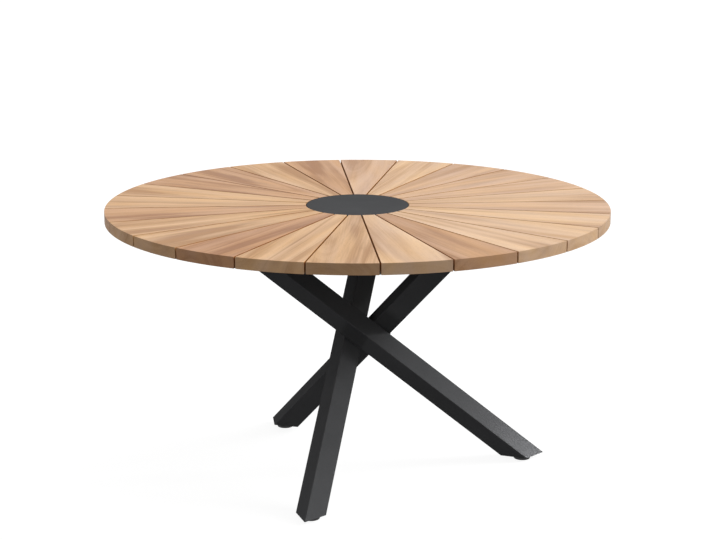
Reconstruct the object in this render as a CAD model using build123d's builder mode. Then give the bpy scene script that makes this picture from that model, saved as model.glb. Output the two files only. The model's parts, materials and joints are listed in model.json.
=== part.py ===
"""Round garden table: radial teak slats on a welded frame, carried by three crossing square tubes.

Millimetres, +Z up. The origin is on the floor, below the centre of the round top.
"""

import os
from math import asin, cos, degrees, radians, sin, sqrt

from build123d import *

# Round top
TOP_DIAMETER = 1400.0
TOP_HEIGHT = 770.0
SLATS_PER_ARM = 4
SLAT_THICKNESS = 30.0
SLAT_GAP = 4.5
SLAT_EASE = 0.5
FIRST_GAP_ANGLE = 4.24

# Centre disc, a shallow pan on its own skirt, held down by a welded stud
DISC_DIAMETER = 285.0
DISC_PLATE = 4.0
DISC_SKIRT = 3.0
DISC_EDGE = 1.0
DISC_GAP = 1.5
DISC_STUD = 10.0
DISC_STUD_TAIL = 14.0
DISC_NUT_WIDTH = 17.0
DISC_NUT_HEIGHT = 8.0
DISC_NUT_FLANGE = 21.0
DISC_NUT_FLANGE_HEIGHT = 2.0

# Frame under the slats: hub plate, radial arms, rolled angle bars along the arms' outer ends
FRAME_TURN = 0.66
FRAME_PLATE = 6.0
HUB_EDGE = 20.0
ARM_WIDTH = 40.0
ARM_HEIGHT = 20.0
ARM_WALL = 2.0
ARM_CORNER = 3.0
ARM_INNER_CORNER = 1.0
ARM_START = 60.0
BAR_RADIUS = 590.0
BAR_FLANGE = 45.0
BAR_WELD_GAP = 1.0
PLUG_CAP = 3.0
PLUG_DEPTH = 14.0
PLUG_CLEARANCE = 0.2
PLUG_TO_BAR = 0.3

# Wood screws up into the slats
SCREW_SHANK = 4.5
SCREW_HEAD = 9.0
SCREW_HEAD_HEIGHT = 3.0
SCREW_HEAD_ANGLE = 20.0
SCREW_DEPTH = 20.0
SCREW_CLEARANCE = 0.3
PILOT_CLEARANCE = 0.05
SCREW_TO_ARM = 3.0

# Legs: square tubes with an edge uppermost
TUBE_WIDTH = 60.0
TUBE_WALL = 3.0
TUBE_CORNER = 2.0
TUBE_INNER_CORNER = 1.0
LEG_TOP_RADIUS = 350.0
LEG_FOOT_RADIUS = 441.0
FEET_CENTRE_X = 44.6
CROSSING_GAP = 0.4
WELD_SIZE = 3.0
LEG_END_PLATE = 4.0

# Head plates and their bolts
HEAD_PLATE = 6.0
HEAD_PLATE_MARGIN = 12.0
HEAD_PLATE_CORNER = 12.0
BOLT = 8.0
BOLT_EDGE = 16.0
BOLT_TO_TUBE = 4.0
BOLT_HEAD_HEIGHT = 5.5
BOLT_FLANGE = 17.0
BOLT_FLANGE_HEIGHT = 1.6
BOLT_TAIL = 2.0
BOLT_CLEARANCE = 0.5
NUT_WIDTH = 13.0
NUT_HEIGHT = 6.5
THREAD_CLEARANCE = 0.06

# Levelling feet
PAD_DIAMETER = 48.0
PAD_HEIGHT = 12.0
PAD_RIM_HEIGHT = 8.0
PAD_NECK = 32.0
PAD_EDGE = 2.0
PAD_STOP_GAP = 0.3
PAD_FLOOR = 4.0
STUD_LENGTH = 34.0
STUD_END_GAP = 0.3
STUD_CLEARANCE = 0.05
STUD_CHAMFER = 1.0

# Heights of the levels, from the slats down to the feet
SLAT_BOTTOM = TOP_HEIGHT - SLAT_THICKNESS
FRAME_BOTTOM = SLAT_BOTTOM - FRAME_PLATE
ARM_BOTTOM = FRAME_BOTTOM - ARM_HEIGHT
LEG_TOP = ARM_BOTTOM - HEAD_PLATE
LEG_END = PAD_HEIGHT + PAD_STOP_GAP

# Six arms, each turned a little from the gap above it, a bar between every two, a leg under every second arm
SLAT_COUNT = 6 * SLATS_PER_ARM
SLAT_PITCH = 360 / SLAT_COUNT
ARM_PITCH = 360 / 6
FIRST_ARM_ANGLE = FIRST_GAP_ANGLE + SLAT_PITCH + FRAME_TURN
SLAT_ANGLES = [FIRST_GAP_ANGLE + SLAT_PITCH * (i + 0.5) for i in range(SLAT_COUNT)]
ARM_ANGLES = [FIRST_ARM_ANGLE + ARM_PITCH * i for i in range(6)]
BAR_ANGLES = [angle + ARM_PITCH / 2 for angle in ARM_ANGLES]
LEG_ANGLES = ARM_ANGLES[1::2]

# The hub's screws stand just clear of the arms, the outer ones in the middle of the bars' flanges
SLAT_OFF_ARM = SLAT_PITCH / 2 - abs(FRAME_TURN)
HUB_SCREW_RADIUS = (ARM_WIDTH / 2 + SCREW_HEAD / 2 + SCREW_TO_ARM) / sin(radians(SLAT_OFF_ARM))
HUB_RADIUS = HUB_SCREW_RADIUS + HUB_EDGE
BAR_LIP_RADIUS = BAR_RADIUS - FRAME_PLATE
BAR_SCREW_RADIUS = (BAR_LIP_RADIUS + BAR_RADIUS - BAR_FLANGE) / 2

# The plugged arms end just inside the lip of the bars
ARM_END = sqrt(BAR_LIP_RADIUS**2 - (ARM_WIDTH / 2) ** 2) - PLUG_TO_BAR - PLUG_CAP


def turned(angle, height):
    """Level plane at a height, its X axis turned about the table's axis."""
    return Plane(origin=(0, 0, height), x_dir=(cos(radians(angle)), sin(radians(angle)), 0), z_dir=(0, 0, 1))


def radial(angle, radius, height):
    """Upright plane that faces outwards at a radius, its X axis level."""
    outwards = Vector(cos(radians(angle)), sin(radians(angle)), 0)
    centre = outwards * radius + Vector(0, 0, height)
    return Plane(origin=centre, x_dir=(-outwards.Y, outwards.X, 0), z_dir=outwards)


def save(builder, name):
    builder.part.label = name
    export_step(builder.part, f"parts/{name}.step")


def make_slat(angle):
    """Wedge between two parallel-sided gaps, eased along its edges, with two pilot holes below."""
    inner_radius = DISC_DIAMETER / 2 + DISC_GAP
    outer_radius = TOP_DIAMETER / 2
    inner_half = SLAT_PITCH / 2 - degrees(asin(SLAT_GAP / 2 / inner_radius))
    outer_half = SLAT_PITCH / 2 - degrees(asin(SLAT_GAP / 2 / outer_radius))
    plane = turned(angle, SLAT_BOTTOM)
    with BuildPart() as slat:
        with BuildSketch(plane):
            with BuildLine():
                inner = CenterArc((0, 0), inner_radius, -inner_half, 2 * inner_half)
                outer = CenterArc((0, 0), outer_radius, -outer_half, 2 * outer_half)
                Line(inner @ 0, outer @ 0)
                Line(inner @ 1, outer @ 1)
            make_face()
        extrude(amount=SLAT_THICKNESS)
        fillet(slat.faces().sort_by(Axis.Z)[-1].edges(), SLAT_EASE)
        chamfer(slat.faces().sort_by(Axis.Z)[0].edges(), SLAT_EASE / 2)
        with BuildSketch(plane):
            with Locations((HUB_SCREW_RADIUS, 0), (BAR_SCREW_RADIUS, 0)):
                Circle(SCREW_SHANK / 2 + PILOT_CLEARANCE)
        extrude(amount=SCREW_DEPTH + SCREW_CLEARANCE, mode=Mode.SUBTRACT)
    return slat


def make_centre_disc():
    """Pan with a turned-down skirt that stands on the hub plate, and a threaded stud at its middle."""
    outer = DISC_DIAMETER / 2
    under = SLAT_THICKNESS - DISC_PLATE
    with BuildPart() as disc:
        with BuildSketch(Plane.XY.offset(SLAT_BOTTOM)):
            Circle(outer)
        extrude(amount=SLAT_THICKNESS)
        with BuildSketch(Plane.XY.offset(SLAT_BOTTOM)):
            Circle(outer - DISC_SKIRT)
        extrude(amount=under, mode=Mode.SUBTRACT)
        fillet(disc.faces().sort_by(Axis.Z)[-1].edges(), DISC_EDGE)
        with BuildSketch(Plane.XY.offset(FRAME_BOTTOM - DISC_STUD_TAIL)):
            Circle(DISC_STUD / 2)
        extrude(amount=DISC_STUD_TAIL + FRAME_PLATE + under)
    return disc


def make_disc_nut():
    """Flange nut that pulls the centre disc down on the hub plate."""
    bore = DISC_STUD / 2 + THREAD_CLEARANCE
    with BuildPart() as nut:
        with BuildSketch(Plane.XY.offset(FRAME_BOTTOM)):
            Circle(DISC_NUT_FLANGE / 2)
            Circle(bore, mode=Mode.SUBTRACT)
        extrude(amount=-DISC_NUT_FLANGE_HEIGHT)
        with BuildSketch(Plane.XY.offset(FRAME_BOTTOM - DISC_NUT_FLANGE_HEIGHT)):
            RegularPolygon(DISC_NUT_WIDTH / 2, 6, major_radius=False)
            Circle(bore, mode=Mode.SUBTRACT)
        extrude(amount=-DISC_NUT_HEIGHT)
    return nut


def make_hub_plate():
    """Round plate that carries the inner slat ends and the centre disc."""
    with BuildPart() as hub:
        with BuildSketch(turned(SLAT_ANGLES[0], FRAME_BOTTOM)):
            Circle(HUB_RADIUS)
            Circle(DISC_STUD / 2 + BOLT_CLEARANCE, mode=Mode.SUBTRACT)
            with PolarLocations(HUB_SCREW_RADIUS, SLAT_COUNT):
                Circle(SCREW_SHANK / 2 + SCREW_CLEARANCE, mode=Mode.SUBTRACT)
        extrude(amount=FRAME_PLATE)
    return hub


def make_arm(angle):
    """Rectangular tube under the hub plate and the bars; an arm above a leg is drilled for its bolts."""
    length = ARM_END - ARM_START
    with BuildPart() as arm:
        with BuildSketch(radial(angle, ARM_START, ARM_BOTTOM + ARM_HEIGHT / 2)):
            RectangleRounded(ARM_WIDTH, ARM_HEIGHT, ARM_CORNER)
            RectangleRounded(
                ARM_WIDTH - 2 * ARM_WALL, ARM_HEIGHT - 2 * ARM_WALL, ARM_INNER_CORNER, mode=Mode.SUBTRACT
            )
        extrude(amount=length)
        if angle in LEG_ANGLES:
            with BuildSketch(turned(angle, ARM_BOTTOM)):
                with Locations(*BOLT_PLACES):
                    Circle(BOLT / 2 + BOLT_CLEARANCE)
            extrude(amount=ARM_WALL, mode=Mode.SUBTRACT)
    return arm


def make_arm_plugs():
    """Plastic plugs in the outer ends of the arms."""
    inner_width = ARM_WIDTH - 2 * ARM_WALL - 2 * PLUG_CLEARANCE
    inner_height = ARM_HEIGHT - 2 * ARM_WALL - 2 * PLUG_CLEARANCE
    middle = ARM_BOTTOM + ARM_HEIGHT / 2
    with BuildPart() as plugs:
        for angle in ARM_ANGLES:
            with BuildSketch(radial(angle, ARM_END, middle)):
                RectangleRounded(ARM_WIDTH, ARM_HEIGHT, ARM_CORNER)
            extrude(amount=PLUG_CAP)
            with BuildSketch(radial(angle, ARM_END - PLUG_DEPTH, middle)):
                RectangleRounded(inner_width, inner_height, ARM_INNER_CORNER)
            extrude(amount=PLUG_DEPTH)
    return plugs


def make_bar(angle):
    """Rolled angle from one arm to the next: a flange under the slats, and a lip down past the arms' ends."""
    span = ARM_PITCH - degrees(BAR_WELD_GAP / BAR_RADIUS)
    start = radians(angle - span / 2)
    upright = Plane(origin=(0, 0, 0), x_dir=(cos(start), sin(start), 0), z_dir=(sin(start), -cos(start), 0))
    offs = [(slat - angle + 180) % 360 - 180 for slat in SLAT_ANGLES]
    offs = [radians(off) for off in offs if abs(off) < ARM_PITCH / 2]
    with BuildPart() as bar:
        with BuildSketch(upright):
            with BuildLine():
                Polyline(
                    (BAR_RADIUS - BAR_FLANGE, SLAT_BOTTOM),
                    (BAR_RADIUS - BAR_FLANGE, FRAME_BOTTOM),
                    (BAR_LIP_RADIUS, FRAME_BOTTOM),
                    (BAR_LIP_RADIUS, ARM_BOTTOM),
                    (BAR_RADIUS, ARM_BOTTOM),
                    (BAR_RADIUS, SLAT_BOTTOM),
                    close=True,
                )
            make_face()
        revolve(axis=Axis.Z, revolution_arc=span)
        with BuildSketch(turned(angle, FRAME_BOTTOM)):
            with Locations(*[(BAR_SCREW_RADIUS * cos(off), BAR_SCREW_RADIUS * sin(off)) for off in offs]):
                Circle(SCREW_SHANK / 2 + SCREW_CLEARANCE)
        extrude(amount=FRAME_PLATE, mode=Mode.SUBTRACT)
    return bar


def make_slat_screws():
    """Round-headed wood screws, two in each slat, driven up through the hub plate and the bars."""
    with BuildPart() as screws:
        for angle in SLAT_ANGLES:
            for radius in (HUB_SCREW_RADIUS, BAR_SCREW_RADIUS):
                with BuildSketch(turned(angle, FRAME_BOTTOM)):
                    with Locations((radius, 0)):
                        Circle(SCREW_HEAD / 2)
                extrude(amount=-SCREW_HEAD_HEIGHT, taper=SCREW_HEAD_ANGLE)
                with BuildSketch(turned(angle, FRAME_BOTTOM)):
                    with Locations((radius, 0)):
                        Circle(SCREW_SHANK / 2)
                extrude(amount=FRAME_PLATE + SCREW_DEPTH)
    return screws


class Leg:
    """Axis of one leg, from the middle of its cut lower end to the middle of its cut upper end."""

    def __init__(self, top_angle, twist):
        self.top_angle = top_angle
        foot_angle = radians(top_angle + 180 - twist)
        top_angle = radians(top_angle)
        self.top = Vector(LEG_TOP_RADIUS * cos(top_angle), LEG_TOP_RADIUS * sin(top_angle), LEG_TOP)
        self.foot = Vector(
            FEET_CENTRE_X + LEG_FOOT_RADIUS * cos(foot_angle), LEG_FOOT_RADIUS * sin(foot_angle), LEG_END
        )
        self.axis = (self.top - self.foot).normalized()
        self.level = self.axis.cross(Vector(0, 0, 1)).normalized()

    def reach(self, direction):
        """How far the rounded square section, edge uppermost, reaches from its axis in a direction."""
        upright = self.level.cross(self.axis)
        sides = [(self.level + upright).normalized(), (self.level - upright).normalized()]
        straight = sum(abs(direction.dot(side)) for side in sides)
        return (TUBE_WIDTH / 2 - TUBE_CORNER) * straight + TUBE_CORNER


def clearance(leg, other):
    """Free space between two legs where they pass each other."""
    between = leg.axis.cross(other.axis).normalized()
    apart = abs((other.foot - leg.foot).dot(between))
    return apart - leg.reach(between) - other.reach(between)


def seat_legs():
    """Turn each foot about the table's axis until every leg lies just clear of the other two."""
    degrees_per_mm = 0.15
    rounds = 200
    twists = [0.0, 0.0, 0.0]
    for _ in range(rounds):
        legs = [Leg(angle, twist) for angle, twist in zip(LEG_ANGLES, twists)]
        opposite = [clearance(legs[i - 2], legs[i - 1]) - CROSSING_GAP for i in range(3)]
        twists = [twist - degrees_per_mm * (sum(opposite) - 2 * own) for twist, own in zip(twists, opposite)]
    return legs


# The head plates suit the leg that leans most, with a bolt at each end clear of the leaning tube
LEGS = seat_legs()
UPRIGHT_SHARE = min(leg.axis.Z for leg in LEGS)
LEAN_SLOPE = sqrt(1 - UPRIGHT_SHARE**2) / UPRIGHT_SHARE
CUT_HALF_LENGTH = TUBE_WIDTH / sqrt(2) / UPRIGHT_SHARE
BOLT_DRIFT = (BOLT_FLANGE_HEIGHT + BOLT_HEAD_HEIGHT) * LEAN_SLOPE
BOLT_OFFSET = CUT_HALF_LENGTH + BOLT_DRIFT + BOLT_FLANGE / 2 + BOLT_TO_TUBE
BOLT_PLACES = [(LEG_TOP_RADIUS - BOLT_OFFSET, 0), (LEG_TOP_RADIUS + BOLT_OFFSET, 0)]
HEAD_PLATE_LENGTH = 2 * (BOLT_OFFSET + BOLT_EDGE)
HEAD_PLATE_WIDTH = sqrt(2) * TUBE_WIDTH + 2 * HEAD_PLATE_MARGIN


def leg_bar(leg, width, corner, wall=0.0):
    """Square bar, or tube with a wall, along a leg's axis, cut level at neither end."""
    overrun = 2 * width
    start = leg.foot - leg.axis * overrun
    length = (leg.top - leg.foot).length + 2 * overrun
    with BuildPart() as bar:
        with BuildSketch(Plane(origin=start, x_dir=leg.level, z_dir=leg.axis)):
            RectangleRounded(width, width, corner, rotation=45)
            if wall:
                inside = width - 2 * wall
                RectangleRounded(inside, inside, TUBE_INNER_CORNER, rotation=45, mode=Mode.SUBTRACT)
        extrude(amount=length)
    return bar


def between_levels(bar, low, high):
    """Part of a leg bar between two level cuts."""
    with BuildPart() as cut:
        add(bar.part)
        split(bisect_by=Plane.XY.offset(low), keep=Keep.TOP)
        split(bisect_by=Plane.XY.offset(high), keep=Keep.BOTTOM)
    return cut


def make_leg_tube(leg):
    tube = leg_bar(leg, TUBE_WIDTH, TUBE_CORNER, TUBE_WALL)
    return between_levels(tube, LEG_END + LEG_END_PLATE, LEG_TOP)


def make_leg_end(leg):
    """Plate that closes the lower end of a leg, flush with its faces, drilled for the foot's stud."""
    slice_of_leg = between_levels(leg_bar(leg, TUBE_WIDTH, TUBE_CORNER), LEG_END, LEG_END + LEG_END_PLATE)
    with BuildPart() as end:
        add(slice_of_leg.part)
        with BuildSketch(Plane.XY.offset(LEG_END)):
            with Locations((leg.foot.X, leg.foot.Y)):
                Circle(BOLT / 2 + BOLT_CLEARANCE)
        extrude(amount=LEG_END_PLATE, mode=Mode.SUBTRACT)
    return end


def make_leg_plate(leg):
    """Head plate welded on a leg and bolted up against its arm."""
    with BuildPart() as plate:
        with BuildSketch(turned(leg.top_angle, LEG_TOP)):
            with Locations((LEG_TOP_RADIUS, 0)):
                RectangleRounded(HEAD_PLATE_LENGTH, HEAD_PLATE_WIDTH, HEAD_PLATE_CORNER)
            with Locations(*BOLT_PLACES):
                Circle(BOLT / 2 + BOLT_CLEARANCE, mode=Mode.SUBTRACT)
        extrude(amount=HEAD_PLATE)
    return plate


def make_crossing_welds():
    """Beads round the three places where one leg lies on another."""
    grown = [leg_bar(leg, TUBE_WIDTH + 2 * WELD_SIZE, TUBE_CORNER + WELD_SIZE).part for leg in LEGS]
    bare = [leg_bar(leg, TUBE_WIDTH, TUBE_CORNER).part for leg in LEGS]
    beads = [(grown[i - 2] & grown[i - 1]) - bare[0] - bare[1] - bare[2] for i in range(3)]
    with BuildPart() as welds:
        for bead in beads:
            add(bead)
    return welds


def make_leg_bolts():
    """Hexagon flange bolts that hold the head plates up against the arms."""
    grip = HEAD_PLATE + ARM_WALL + NUT_HEIGHT + BOLT_TAIL
    with BuildPart() as bolts:
        for angle in LEG_ANGLES:
            plane = turned(angle, LEG_TOP)
            with BuildSketch(plane):
                with Locations(*BOLT_PLACES):
                    Circle(BOLT_FLANGE / 2)
            extrude(amount=-BOLT_FLANGE_HEIGHT)
            with BuildSketch(plane):
                with Locations(*BOLT_PLACES):
                    RegularPolygon(NUT_WIDTH / 2, 6, major_radius=False)
            extrude(amount=-BOLT_FLANGE_HEIGHT - BOLT_HEAD_HEIGHT)
            with BuildSketch(plane):
                with Locations(*BOLT_PLACES):
                    Circle(BOLT / 2)
            extrude(amount=grip)
    return bolts


def make_weld_nuts():
    """Hexagon nuts welded inside the arms for the leg bolts and inside the leg ends for the feet."""
    bore = BOLT / 2 + THREAD_CLEARANCE
    with BuildPart() as nuts:
        for leg in LEGS:
            with BuildSketch(turned(leg.top_angle, ARM_BOTTOM + ARM_WALL)):
                with Locations(*BOLT_PLACES):
                    RegularPolygon(NUT_WIDTH / 2, 6, major_radius=False)
                    Circle(bore, mode=Mode.SUBTRACT)
            extrude(amount=NUT_HEIGHT)
            with BuildSketch(Plane.XY.offset(LEG_END + LEG_END_PLATE)):
                with Locations((leg.foot.X, leg.foot.Y)):
                    RegularPolygon(NUT_WIDTH / 2, 6, major_radius=False)
                    Circle(bore, mode=Mode.SUBTRACT)
            extrude(amount=NUT_HEIGHT)
    return nuts


def make_foot_pad(leg):
    """Round pad with a narrower neck and a blind bore in which the stud turns."""
    upright = Plane(origin=(leg.foot.X, leg.foot.Y, 0), x_dir=(1, 0, 0), z_dir=(0, -1, 0))
    bore = BOLT / 2 + STUD_CLEARANCE
    with BuildPart() as pad:
        with BuildSketch(upright):
            with BuildLine():
                Polyline(
                    (0, 0),
                    (PAD_DIAMETER / 2, 0),
                    (PAD_DIAMETER / 2, PAD_RIM_HEIGHT),
                    (PAD_NECK / 2, PAD_HEIGHT),
                    (bore, PAD_HEIGHT),
                    (bore, PAD_FLOOR),
                    (0, PAD_FLOOR),
                    close=True,
                )
            make_face()
        revolve(axis=Axis((leg.foot.X, leg.foot.Y, 0), (0, 0, 1)))
        fillet(pad.edges().filter_by(GeomType.CIRCLE).group_by(SortBy.RADIUS)[-1], PAD_EDGE)
    return pad


def make_foot_stud(leg):
    """Threaded stud that turns in the pad and climbs in the nut inside the leg."""
    with BuildPart() as stud:
        with BuildSketch(Plane.XY.offset(PAD_FLOOR + STUD_END_GAP)):
            with Locations((leg.foot.X, leg.foot.Y)):
                Circle(BOLT / 2)
        extrude(amount=STUD_LENGTH)
        chamfer(stud.faces().sort_by(Axis.Z)[-1].edges(), STUD_CHAMFER)
    return stud


def main():
    os.makedirs("parts", exist_ok=True)
    for number, angle in enumerate(SLAT_ANGLES, 1):
        save(make_slat(angle), f"slat_{number:02d}")
    save(make_centre_disc(), "centre_disc")
    save(make_disc_nut(), "disc_nut")
    save(make_hub_plate(), "hub_plate")
    for number, angle in enumerate(ARM_ANGLES, 1):
        save(make_arm(angle), f"frame_arm_{number}")
    save(make_arm_plugs(), "arm_plugs")
    for number, angle in enumerate(BAR_ANGLES, 1):
        save(make_bar(angle), f"frame_bar_{number}")
    save(make_slat_screws(), "slat_screws")
    for number, leg in enumerate(LEGS, 1):
        save(make_leg_tube(leg), f"leg_tube_{number}")
        save(make_leg_end(leg), f"leg_end_{number}")
        save(make_leg_plate(leg), f"leg_plate_{number}")
        save(make_foot_pad(leg), f"foot_pad_{number}")
        save(make_foot_stud(leg), f"foot_stud_{number}")
    save(make_crossing_welds(), "crossing_welds")
    save(make_leg_bolts(), "leg_bolts")
    save(make_weld_nuts(), "weld_nuts")


main()
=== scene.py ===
"""Looks of the round garden table: oiled teak slats, dark coated metal, steel and black plastic."""
import json
import random
from math import atan2, cos, pi, radians, remainder, sin, tan, tau

import bpy
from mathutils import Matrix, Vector


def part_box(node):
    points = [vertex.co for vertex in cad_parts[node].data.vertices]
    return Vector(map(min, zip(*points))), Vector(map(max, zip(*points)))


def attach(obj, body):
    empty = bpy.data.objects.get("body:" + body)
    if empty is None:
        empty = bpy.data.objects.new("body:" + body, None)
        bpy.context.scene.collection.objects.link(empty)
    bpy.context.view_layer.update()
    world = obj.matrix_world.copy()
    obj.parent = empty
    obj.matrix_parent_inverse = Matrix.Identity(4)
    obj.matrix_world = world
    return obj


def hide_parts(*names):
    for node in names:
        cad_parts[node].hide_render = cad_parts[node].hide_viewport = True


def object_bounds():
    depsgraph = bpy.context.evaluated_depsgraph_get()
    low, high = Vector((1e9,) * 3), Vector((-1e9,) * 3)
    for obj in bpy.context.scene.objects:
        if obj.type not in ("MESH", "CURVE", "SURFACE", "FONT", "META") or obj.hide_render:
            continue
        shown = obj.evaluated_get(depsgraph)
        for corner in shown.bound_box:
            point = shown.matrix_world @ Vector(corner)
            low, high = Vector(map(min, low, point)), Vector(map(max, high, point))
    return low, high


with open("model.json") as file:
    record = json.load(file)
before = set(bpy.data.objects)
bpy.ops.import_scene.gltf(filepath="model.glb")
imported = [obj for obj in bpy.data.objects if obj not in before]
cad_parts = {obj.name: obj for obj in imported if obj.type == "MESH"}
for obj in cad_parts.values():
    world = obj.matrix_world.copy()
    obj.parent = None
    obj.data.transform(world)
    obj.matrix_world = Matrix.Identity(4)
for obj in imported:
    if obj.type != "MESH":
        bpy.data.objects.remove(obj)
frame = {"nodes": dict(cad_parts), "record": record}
CAD_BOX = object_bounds()

# Photograph's camera, in metres and degrees, for an image 716 pixels wide
IMAGE_WIDTH = 716
FOCAL_PIXELS = 1765.2
SENSOR_WIDTH = 36.0
CAMERA_PLACE = (-0.0256, -4.8237, 1.7679)
CAMERA_PITCH = 13.818
CAMERA_TURN = -0.321

# Studio, with angles in degrees
KEY_STRENGTH = 1.87
KEY_SPREAD = 32
KEY_HEIGHT = 35
KEY_TURN = 4
GLINT_STRENGTH = 0.25
GLINT_SPREAD = 2
GLINT_HEIGHT = 22
GLINT_TURN = 8.4
SKY_STRENGTH = 0.64
FLOOR_SIZE = 60
FLOOR_BOUNCE = 0.06
FLOOR_GLOW = 0.9
FLOOR_SHADOW = 0.2

# Slats, in metres
TOP_RADIUS = CAD_BOX[1][0]
TOP_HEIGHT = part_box("slat_01")[1].z
RIM_DEPTH = 0.0012
UPRIGHT_LIFT = 0.3

# Kinds of board: the middle tone, and how bold the figure is
BOARDS = {
    "pale": ((0.754, 0.498, 0.305), 0.68),
    "sand": ((0.675, 0.430, 0.268), 0.72),
    "gold": ((0.650, 0.398, 0.216), 1.08),
    "rosy": ((0.560, 0.319, 0.176), 1.25),
    "russet": ((0.517, 0.274, 0.141), 1.25),
}
# Board of each slat from slat_01 on, with the random draw of its figure, the likest of several trials
SLAT_BOARDS = (
    ("pale", 1), ("sand", 50), ("sand", 171), ("sand", 172), ("pale", 197), ("sand", 78),
    ("rosy", 151), ("gold", 104), ("rosy", 57), ("rosy", 130), ("gold", 107), ("gold", 204),
    ("rosy", 13), ("gold", 158), ("gold", 111), ("russet", 40), ("gold", 113), ("gold", 114),
    ("pale", 187), ("rosy", 92), ("pale", 141), ("pale", 166), ("pale", 23), ("sand", 120),
)
# How dark the oil makes the end grain on the rim, and the slats where it soaked in deeper
RIM_OIL = 0.12
THIRSTY_RIMS = {18: 0.44, 19: 0.33, 23: 0.29}

# Teak's shades, as factors of the board's tone or of its dark streaks
LIGHT_STREAK = (1.16, 1.21, 1.26)
DARK_STREAK = (0.72, 0.64, 0.57)
COOL_TINT = (0.97, 1.0, 1.10)
WARM_TINT = (1.03, 1.0, 0.90)
# Painted shade on the slats' sides in the gaps, as factors of the dark streaks, and how fully it covers
# them
PAINTED_GAP_SHADE = (0.80, 0.56, 0.17)
PAINTED_GAP_COVER = 0.9
PORE_SHADE = 0.45
PORE_COVER = 0.35
RIM_SHADE = 0.35
RIM_CALM = 0.55

# Where a board's pith may lie: aside, above or below the face, and askew
PITH_ASIDE = 0.10
PITH_DEPTH = (0.05, 0.14)
PITH_SLOPE = 0.06
RING_WANDER = 0.05
RING_SHIFT = 9
BOARD_SHIFT = 20

# Teak's noises: how fine they are along, across and through the board, and their share of the grain
WANDER_SCALE = (1.3, 5.0, 5.0)
STREAK_SCALE = (3.0, 210.0, 210.0)
CLOUD_SCALE = (2.2, 14.0, 14.0)
WARMTH_SCALE = (3.1, 21.0, 21.0)
PORE_SCALE = (42.0, 1700.0, 1700.0)
BAND_SHARE = 1.1
STREAK_SHARE = 0.8
CLOUD_SHARE = 2.4
HEART_SHARE = 1.7

# Powder coat of the frame and the disc; steel; plastic
COAT = (0.088, 0.089, 0.092)
COAT_MOTTLE = 0.16
COAT_SHEEN = 0.08
STEEL_DARK = (0.50, 0.50, 0.49)
STEEL_LIGHT = (0.66, 0.66, 0.65)
TOOL_MARKS = (300, 300, 4000)
PLASTIC_DARK = (0.012, 0.012, 0.013)
PLASTIC_LIGHT = (0.024, 0.024, 0.025)

# Fasteners, in metres and degrees
STEPS_ROUND = 36
SHARP_ANGLE = 32
SCREW_SHANK = 0.00225
SCREWS_APART = 0.02
RECESS_RADIUS = 0.0019
RECESS_LOBE = 0.00032
RECESS_LOBES = 6
RECESS_DEPTH = 0.0018
# Screw's dome: share of the head's radius, and of its height
SCREW_DOME = ((0.62, 0.0), (0.80, 0.18), (0.93, 0.48), (0.99, 0.85), (1.0, 1.0))
HEX_CHAMFER = 30
HEX_FACE = 0.95
FLANGE_SHOULDER = 0.95
BOLT_SHANK = 0.004
BOLT_FLATS = 0.013
BOLT_TIP = 0.001
HEAD_MIDDLE = 0.001
BOLTS_APART = 0.03
NUT_BORE = 0.00506
NUT_FLATS = 0.017
# Heights over the seat where a flange leaves the hexagon, rounds its shoulder and turns down
BOLT_FLANGE = (0.0021, 0.0014, 0.0010)
NUT_FLANGE = (0.0027, 0.0017, 0.0012)
THREAD_PITCH = 0.00125
THREAD_DEPTH = 0.0007
RINGS_PER_PITCH = 6


def add_node(tree, kind, inputs=(), **settings):
    """One shader node; an input is a value, or a socket to link from."""
    node = tree.nodes.new(kind)
    for name, value in settings.items():
        setattr(node, name, value)
    for name, value in dict(inputs).items():
        if isinstance(value, bpy.types.NodeSocket):
            tree.links.new(value, node.inputs[name])
        else:
            node.inputs[name].default_value = value
    return node


def new_material(name):
    material = bpy.data.materials.new(name)
    material.use_nodes = True
    material.node_tree.nodes.clear()
    return material, material.node_tree


def object_place(tree):
    return add_node(tree, "ShaderNodeTexCoord").outputs["Object"]


def math_node(tree, operation, first, second=0.0, third=0.0):
    node = add_node(tree, "ShaderNodeMath", {0: first, 1: second, 2: third}, operation=operation)
    return node.outputs[0]


def noise(tree, vector, scale=1.0, detail=2.0, roughness=0.5):
    inputs = {"Vector": vector, "Scale": scale, "Detail": detail, "Roughness": roughness}
    return add_node(tree, "ShaderNodeTexNoise", inputs).outputs["Fac"]


def ring_noise(tree, distance, scale, detail, roughness):
    """Noise that changes only from ring to ring."""
    inputs = {"W": distance, "Scale": scale, "Detail": detail, "Roughness": roughness}
    return add_node(tree, "ShaderNodeTexNoise", inputs, noise_dimensions="1D").outputs["Fac"]


def stretched(tree, vector, scales, place=(0, 0, 0)):
    inputs = {"Vector": vector, "Scale": scales, "Location": place}
    return add_node(tree, "ShaderNodeMapping", inputs).outputs["Vector"]


def spread(tree, value, size, base=0.0):
    """A noise value about its middle, widened to a size and added to a base."""
    return math_node(tree, "MULTIPLY_ADD", math_node(tree, "SUBTRACT", value, 0.5), size, base)


def ramp(tree, value, stops):
    """Colour ramp through (position, colour) stops."""
    node = add_node(tree, "ShaderNodeValToRGB", {"Fac": value})
    elements = node.color_ramp.elements
    while len(elements) < len(stops):
        elements.new(0.5)
    for element, (position, colour) in zip(elements, stops):
        element.position = position
        element.color = (*colour, 1.0)
    return node.outputs["Color"]


def mix_colour(tree, factor, first, second, blend="MIX"):
    node = add_node(tree, "ShaderNodeMix", data_type="RGBA", blend_type=blend)
    sockets = {socket.identifier: socket for socket in node.inputs}
    for name, value in (("Factor_Float", factor), ("A_Color", first), ("B_Color", second)):
        if isinstance(value, bpy.types.NodeSocket):
            tree.links.new(value, sockets[name])
        elif isinstance(value, tuple):
            sockets[name].default_value = (*value, 1.0)
        else:
            sockets[name].default_value = value
    return next(socket for socket in node.outputs if socket.identifier == "Result_Color")


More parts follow.
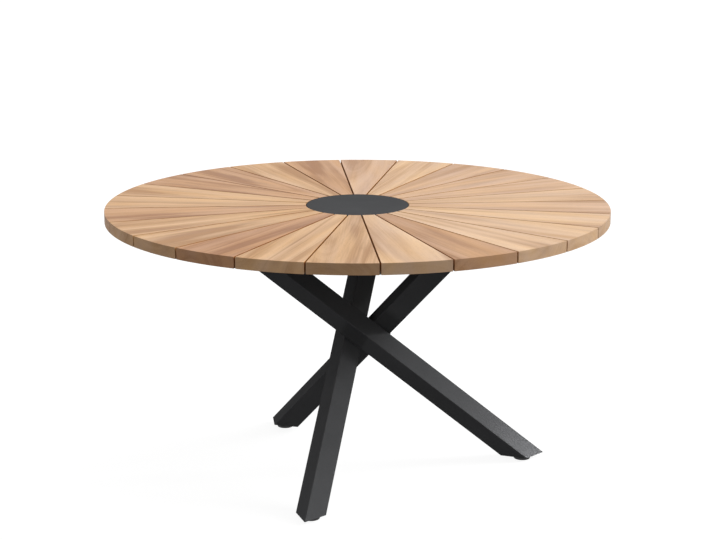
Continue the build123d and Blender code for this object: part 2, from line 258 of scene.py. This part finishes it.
def finish_material(tree, inputs, bump, bump_strength, bump_depth=0.001):
    """Principled surface with a bump, joined to the material's output."""
    relief = {"Strength": bump_strength, "Distance": bump_depth, "Height": bump}
    normal = add_node(tree, "ShaderNodeBump", relief).outputs["Normal"]
    surface = add_node(tree, "ShaderNodeBsdfPrincipled", {**inputs, "Normal": normal})
    add_node(tree, "ShaderNodeOutputMaterial", {"Surface": surface.outputs["BSDF"]})


def times(colour, factors):
    return tuple(c * f for c, f in zip(colour, factors))


def scaled(colour, factor):
    return tuple(c * factor for c in colour)


def growth_rings(tree, along, shift, draw):
    """Bands and broad heart of the rings about a pith that lies off the board and runs askew."""
    wander = noise(tree, stretched(tree, along, WANDER_SCALE, shift))
    pith_aside = draw.uniform(-PITH_ASIDE, PITH_ASIDE)
    pith_depth = draw.choice((-1, 1)) * draw.uniform(*PITH_DEPTH)
    slope = draw.uniform(-PITH_SLOPE, PITH_SLOPE)
    x, y, z = add_node(tree, "ShaderNodeSeparateXYZ", {"Vector": along}).outputs
    side = math_node(tree, "SUBTRACT", y, pith_aside + RING_WANDER / 2)
    side = math_node(tree, "MULTIPLY_ADD", wander, RING_WANDER, side)
    deep = math_node(tree, "SUBTRACT", z, TOP_HEIGHT + pith_depth)
    deep = math_node(tree, "MULTIPLY_ADD", x, slope, deep)
    square = math_node(tree, "MULTIPLY_ADD", side, side, math_node(tree, "MULTIPLY", deep, deep))
    ring = math_node(tree, "ADD", math_node(tree, "SQRT", square), draw.uniform(0, RING_SHIFT))
    bands = ring_noise(tree, ring, scale=95.0, detail=3.5, roughness=0.62)
    heart = ring_noise(tree, ring, scale=24.0, detail=1.0, roughness=0.5)
    return bands, heart


def rim_mask(tree, place):
    """1 on the outer rim of the top."""
    flat = add_node(tree, "ShaderNodeVectorMath", {0: place, 1: (1, 1, 0)}, operation="MULTIPLY")
    radius = add_node(tree, "ShaderNodeVectorMath", {0: flat.outputs[0]}, operation="LENGTH")
    return math_node(tree, "GREATER_THAN", radius.outputs["Value"], TOP_RADIUS - RIM_DEPTH)


def upright_mask(tree):
    """1 on faces that stand upright."""
    facing = add_node(tree, "ShaderNodeNewGeometry").outputs["True Normal"]
    lift = add_node(tree, "ShaderNodeSeparateXYZ", {"Vector": facing}).outputs["Z"]
    return math_node(tree, "LESS_THAN", math_node(tree, "ABSOLUTE", lift), UPRIGHT_LIFT)


def teak(name, angle, board, seed, rim_oil):
    """Oiled teak cut along a slat: rings, streaks, pores, end grain on the rim, painted shade in the
    gaps.
    """
    draw = random.Random(seed)
    tone, boldness = board
    light, dark = times(tone, LIGHT_STREAK), times(tone, DARK_STREAK)
    material, tree = new_material(name)
    place = object_place(tree)
    turned = add_node(tree, "ShaderNodeMapping", {"Vector": place, "Rotation": (0, 0, -angle)})
    along = turned.outputs["Vector"]
    shift = tuple(draw.uniform(-BOARD_SHIFT, BOARD_SHIFT) for _ in range(3))
    bands, heart = growth_rings(tree, along, shift, draw)

    # Streaks, broad clouds and warmer patches along the grain, and fine pores
    streaks = noise(tree, stretched(tree, along, STREAK_SCALE, shift), detail=4.0, roughness=0.6)
    clouds = noise(tree, stretched(tree, along, CLOUD_SCALE, shift), detail=2.5)
    warmth = noise(tree, stretched(tree, along, WARMTH_SCALE, shift[::-1]))
    pores = noise(tree, stretched(tree, along, PORE_SCALE, shift), detail=1.0)

    # The end grain on the rim shows the figure less
    rim = rim_mask(tree, place)
    figure = math_node(tree, "MULTIPLY_ADD", rim, -RIM_CALM * boldness, boldness)
    grain = spread(tree, bands, BAND_SHARE, 0.5)
    for layer, share in ((streaks, STREAK_SHARE), (clouds, CLOUD_SHARE), (heart, HEART_SHARE)):
        grain = spread(tree, layer, share, grain)
    grain = spread(tree, grain, figure, 0.5)
    colour = ramp(tree, grain, ((0.0, dark), (0.5, tone), (1.0, light)))
    tint = ramp(tree, warmth, ((0.3, COOL_TINT), (0.7, WARM_TINT)))
    colour = mix_colour(tree, 1.0, colour, tint, "MULTIPLY")
    pore_mask = ramp(tree, pores, ((0.28, (1, 1, 1)), (0.38, (0, 0, 0))))
    pore_cover = math_node(tree, "MULTIPLY", pore_mask, PORE_COVER)
    colour = mix_colour(tree, pore_cover, colour, scaled(dark, PORE_SHADE))

    # The rim takes up oil, and the slats' sides in the gaps get painted shade, darker still
    gap_sides = math_node(tree, "MULTIPLY", upright_mask(tree), math_node(tree, "SUBTRACT", 1.0, rim))
    rim_cover = math_node(tree, "MULTIPLY", rim, rim_oil)
    painted_gap_cover = math_node(tree, "MULTIPLY", gap_sides, PAINTED_GAP_COVER)
    colour = mix_colour(tree, rim_cover, colour, scaled(dark, RIM_SHADE))
    colour = mix_colour(tree, painted_gap_cover, colour, times(dark, PAINTED_GAP_SHADE))

    roughness = spread(tree, bands, size=-0.16, base=0.58)
    height = math_node(tree, "MULTIPLY_ADD", pores, 0.5, streaks)
    inputs = {"Base Color": colour, "Roughness": roughness, "Specular IOR Level": 0.3}
    finish_material(tree, inputs, bump=height, bump_strength=0.25, bump_depth=0.0006)
    return material


def dark_coat(name, shade):
    """Anthracite powder coat with a fine orange peel and a faint sheen that fades at grazing angles."""
    material, tree = new_material(name)
    place = object_place(tree)
    peel = noise(tree, place, scale=900.0)
    mottle = noise(tree, place, scale=7.0, detail=3.0)
    tone = spread(tree, mottle, size=0.6, base=peel)
    stops = ((0.25, scaled(shade, 1 - COAT_MOTTLE)), (0.75, scaled(shade, 1 + COAT_MOTTLE)))
    colour = ramp(tree, tone, stops)
    roughness = math_node(tree, "MULTIPLY_ADD", mottle, 0.04, 0.155)
    inputs = {"Base Color": colour, "Roughness": roughness, "Metallic": COAT_SHEEN}
    inputs |= {"Specular IOR Level": 0.0, "Specular Tint": (0, 0, 0, 1)}
    finish_material(tree, inputs, bump=peel, bump_strength=0.02, bump_depth=0.0005)
    return material


def steel(name):
    """Turned stainless steel with fine tool marks."""
    material, tree = new_material(name)
    marks = noise(tree, stretched(tree, object_place(tree), TOOL_MARKS))
    colour = ramp(tree, marks, ((0.3, STEEL_DARK), (0.7, STEEL_LIGHT)))
    roughness = math_node(tree, "MULTIPLY_ADD", marks, 0.2, 0.24)
    inputs = {"Base Color": colour, "Metallic": 1.0, "Roughness": roughness}
    finish_material(tree, inputs, bump=marks, bump_strength=0.08)
    return material


def black_plastic(name):
    """Moulded black plastic with a spark-eroded skin."""
    material, tree = new_material(name)
    skin = noise(tree, object_place(tree), scale=2200.0)
    colour = ramp(tree, skin, ((0.3, PLASTIC_DARK), (0.7, PLASTIC_LIGHT)))
    roughness = math_node(tree, "MULTIPLY_ADD", skin, 0.2, 0.45)
    inputs = {"Base Color": colour, "Roughness": roughness}
    finish_material(tree, inputs, bump=skin, bump_strength=0.15, bump_depth=0.0002)
    return material


def paint(node, material):
    for slot in frame["nodes"][node].material_slots:
        slot.material = material


def slat_angle(name):
    """Direction of a slat's middle line, from the ends of its rim."""
    points = [vertex.co.xy for vertex in frame["nodes"][name].data.vertices]
    outer = [point for point in points if point.length > TOP_RADIUS - RIM_DEPTH]
    start = atan2(outer[0].y, outer[0].x)
    turns = [remainder(atan2(point.y, point.x) - start, tau) for point in outer]
    return start + (min(turns) + max(turns)) / 2


def dress_nodes(finishes):
    """Every node takes the finish of its slot, and each slat its own board."""
    for part in frame["record"]["subparts"]:
        if part["material_slot"] in finishes:
            paint(part["node"], finishes[part["material_slot"]])
    for number, (kind, seed) in enumerate(SLAT_BOARDS, 1):
        name = f"slat_{number:02d}"
        rim_oil = THIRSTY_RIMS.get(number, RIM_OIL)
        paint(name, teak(f"teak_{number:02d}", slat_angle(name), BOARDS[kind], seed, rim_oil))


def boxes_of_group(node, apart):
    """Lowest and highest corner of each solid in a node whose solids stand apart in plan."""
    groups = []
    for vertex in frame["nodes"][node].data.vertices:
        for group in groups:
            if (vertex.co.xy - group[0].xy).length < apart:
                group.append(vertex.co)
                break
        else:
            groups.append([vertex.co])
    corners = []
    for group in groups:
        low = Vector(min(point[axis] for point in group) for axis in range(3))
        high = Vector(max(point[axis] for point in group) for axis in range(3))
        corners.append((low, high))
    return corners


def skin_of_rings(rings, middle, closed=False):
    """Skin through rings of (radius, height) about an upright axis; both may vary with the turn."""
    vertices, faces = [], []
    for ring in rings:
        for step in range(STEPS_ROUND):
            turn = tau * step / STEPS_ROUND
            radius, height = [size(turn) if callable(size) else size for size in ring]
            x, y = middle.x + radius * cos(turn), middle.y + radius * sin(turn)
            vertices.append((x, y, height))
    for first in range(len(rings) if closed else len(rings) - 1):
        low = first * STEPS_ROUND
        high = (first + 1) % len(rings) * STEPS_ROUND
        for step in range(STEPS_ROUND):
            after = (step + 1) % STEPS_ROUND
            faces.append((low + step, low + after, high + after, high + step))
    if not closed:
        faces.append(tuple(range(STEPS_ROUND))[::-1])
        faces.append(tuple(range(len(vertices) - STEPS_ROUND, len(vertices))))
    return vertices, faces


def add_piece(name, skins, body, material, node):
    """One object of several skins that stands for a node."""
    vertices, faces = [], []
    for skin_vertices, skin_faces in skins:
        start = len(vertices)
        vertices += skin_vertices
        faces += [tuple(start + index for index in face) for face in skin_faces]
    mesh = bpy.data.meshes.new(name)
    mesh.from_pydata(vertices, [], faces)
    mesh.polygons.foreach_set("use_smooth", [True] * len(mesh.polygons))
    mesh.set_sharp_from_angle(angle=radians(SHARP_ANGLE))
    mesh.materials.append(material)
    piece = bpy.data.objects.new(name, mesh)
    bpy.context.scene.collection.objects.link(piece)
    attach(piece, body)
    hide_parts(node)


def hexagon(across_flats):
    """Radius of a hexagon as a function of the turn."""
    def radius(turn):
        return across_flats / 2 / cos(remainder(turn, pi / 3))

    return radius


def hexagon_head(across_flats, bottom):
    """Rings of a hexagon's lower end, from its round face out to its chamfered edge."""
    face = across_flats / 2 * HEX_FACE
    outline = hexagon(across_flats)

    def edge(turn):
        return bottom + (outline(turn) - face) * tan(radians(HEX_CHAMFER))

    return [(face, bottom), (outline, edge)]


def flange_rings(across_flats, flange, seat, heights):
    """Rings from a hexagon out over its sloping flange and up to the seat."""
    root, shoulder, edge = heights
    return [
        (hexagon(across_flats), seat - root),
        (flange * FLANGE_SHOULDER, seat - shoulder),
        (flange, seat - edge),
        (flange, seat),
    ]


def recess(turn):
    """Radius of a screw's lobed recess."""
    return RECESS_RADIUS + RECESS_LOBE * cos(RECESS_LOBES * turn)


def wood_screw(low, high):
    """Domed head with a lobed recess below, and a plain shank up in the wood."""
    head = (high.x - low.x) / 2
    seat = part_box("hub_plate")[0].z
    rings = [
        (RECESS_RADIUS * 0.2, low.z + RECESS_DEPTH * 1.2),
        (recess, low.z + RECESS_DEPTH),
        (recess, low.z),
    ]
    rings += [(head * width, low.z + (seat - low.z) * rise) for width, rise in SCREW_DOME]
    rings += [
        (SCREW_SHANK, seat),
        (SCREW_SHANK, high.z - 2 * SCREW_SHANK),
        (SCREW_SHANK * 0.1, high.z),
    ]
    return skin_of_rings(rings, (low + high) / 2)


def flange_bolt(low, high):
    """Hexagon head on a flange, and a shank up through the head plate into the arm's nut."""
    flange = (high.x - low.x) / 2
    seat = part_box("leg_plate_1")[0].z
    rings = [(HEAD_MIDDLE, low.z), *hexagon_head(BOLT_FLATS, low.z)]
    rings += flange_rings(BOLT_FLATS, flange, seat, BOLT_FLANGE)
    rings += [
        (BOLT_SHANK, seat),
        (BOLT_SHANK, high.z - BOLT_TIP),
        (BOLT_SHANK - BOLT_TIP, high.z),
    ]
    return skin_of_rings(rings, (low + high) / 2)


def flange_nut(low, high):
    """Hexagon nut on a flange, open along the stud."""
    flange = (high.x - low.x) / 2
    rings = [(NUT_BORE, low.z), *hexagon_head(NUT_FLATS, low.z)]
    rings += [*flange_rings(NUT_FLATS, flange, high.z, NUT_FLANGE), (NUT_BORE, high.z)]
    return skin_of_rings(rings, (low + high) / 2, closed=True)


def threaded_stud(low, high):
    """Rod with a right-hand thread, chamfered at both ends."""
    outer = (high.x - low.x) / 2
    count = round((high.z - low.z) / THREAD_PITCH * RINGS_PER_PITCH)
    rings = []
    for level in range(count + 1):
        height = low.z + (high.z - low.z) * level / count
        limit = outer - THREAD_DEPTH + min(height - low.z, high.z - height)
        phase = height / THREAD_PITCH

        def radius(turn, phase=phase, limit=limit):
            off_crest = abs(remainder(phase - turn / tau, 1))
            return min(limit, outer - THREAD_DEPTH * 2 * off_crest)

        rings.append((radius, height))
    return skin_of_rings(rings, (low + high) / 2)


def add_fasteners(material):
    """Detailed fasteners where the plain ones stand."""
    screws = [wood_screw(*box) for box in boxes_of_group("slat_screws", SCREWS_APART)]
    add_piece("wood_screws", screws, "frame", material, "slat_screws")
    bolts = [flange_bolt(*box) for box in boxes_of_group("leg_bolts", BOLTS_APART)]
    add_piece("flange_bolts", bolts, "frame", material, "leg_bolts")
    nut = flange_nut(*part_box("disc_nut"))
    add_piece("flange_nut", [nut], "frame", material, "disc_nut")
    for number in (1, 2, 3):
        node = f"foot_stud_{number}"
        stud = threaded_stud(*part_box(node))
        add_piece(f"foot_thread_{number}", [stud], f"foot_{number}_stud", material, node)


def add_camera():
    data = bpy.data.cameras.new("photo_camera")
    data.sensor_width = SENSOR_WIDTH
    data.lens = FOCAL_PIXELS * SENSOR_WIDTH / IMAGE_WIDTH
    camera = bpy.data.objects.new("photo_camera", data)
    camera.location = CAMERA_PLACE
    camera.rotation_euler = (radians(90 - CAMERA_PITCH), 0, radians(CAMERA_TURN))
    bpy.context.scene.collection.objects.link(camera)
    bpy.context.scene.camera = camera


def shown_ray(tree):
    """1 for rays that show the background: camera, mirrored and refracted ones."""
    path = add_node(tree, "ShaderNodeLightPath").outputs
    mirrored = math_node(tree, "MAXIMUM", path["Is Glossy Ray"], path["Is Transmission Ray"])
    return math_node(tree, "MAXIMUM", path["Is Camera Ray"], mirrored)


def add_lamp(name, strength, spread, height, turn):
    """Distant lamp, placed by its height and its turn from the right."""
    sun = bpy.data.lights.new(name, "SUN")
    sun.energy = strength
    sun.angle = radians(spread)
    lamp = bpy.data.objects.new(name, sun)
    lamp.rotation_euler = (0, radians(90 - height), radians(turn))
    bpy.context.scene.collection.objects.link(lamp)
    return lamp


def add_light():
    """Broad soft key from the right, a small lamp to be mirrored, and an even sky that shows as white."""
    key = add_lamp("key", KEY_STRENGTH, KEY_SPREAD, KEY_HEIGHT, KEY_TURN)
    key.visible_glossy = False
    add_lamp("glint", GLINT_STRENGTH, GLINT_SPREAD, GLINT_HEIGHT, GLINT_TURN)
    world = bpy.data.worlds.new("studio")
    world.use_nodes = True
    tree = world.node_tree
    tree.nodes.clear()
    strength = math_node(tree, "MULTIPLY_ADD", shown_ray(tree), 1 - SKY_STRENGTH, SKY_STRENGTH)
    sky = add_node(tree, "ShaderNodeBackground", {"Color": (1, 1, 1, 1), "Strength": strength})
    add_node(tree, "ShaderNodeOutputWorld", {"Surface": sky.outputs["Background"]})
    bpy.context.scene.world = world


def grey(tree, kind, level, **inputs):
    return add_node(tree, kind, {"Color": (level, level, level, 1), **inputs}).outputs[0]


def mix_shader(tree, factor, first, second):
    return add_node(tree, "ShaderNodeMixShader", {"Fac": factor, 1: first, 2: second}).outputs[0]


def add_floor():
    """White floor that keeps a faint shadow, throws little light back up, and is clear from below."""
    half = FLOOR_SIZE / 2
    corners = [(-half, -half, 0), (half, -half, 0), (half, half, 0), (-half, half, 0)]
    mesh = bpy.data.meshes.new("floor")
    mesh.from_pydata(corners, [], [(0, 1, 2, 3)])
    floor = bpy.data.objects.new("floor", mesh)
    bpy.context.scene.collection.objects.link(floor)
    material, tree = new_material("floor")
    shaded = grey(tree, "ShaderNodeBsdfDiffuse", FLOOR_SHADOW)
    glow = grey(tree, "ShaderNodeEmission", 1, Strength=FLOOR_GLOW)
    seen = add_node(tree, "ShaderNodeAddShader", {0: shaded, 1: glow}).outputs[0]
    bounced = grey(tree, "ShaderNodeBsdfDiffuse", FLOOR_BOUNCE)
    above = mix_shader(tree, shown_ray(tree), bounced, seen)
    below = grey(tree, "ShaderNodeBsdfTransparent", 1)
    back = add_node(tree, "ShaderNodeNewGeometry").outputs["Backfacing"]
    either = mix_shader(tree, back, above, below)
    add_node(tree, "ShaderNodeOutputMaterial", {"Surface": either})
    mesh.materials.append(material)


def main():
    bpy.context.scene.view_settings.view_transform = "Standard"
    finishes = {
        "dark_coat": dark_coat("dark_coat", COAT),
        "steel_hardware": steel("steel_hardware"),
        "black_plastic": black_plastic("black_plastic"),
    }
    dress_nodes(finishes)
    add_fasteners(finishes["steel_hardware"])
    add_camera()
    add_light()
    add_floor()


main()
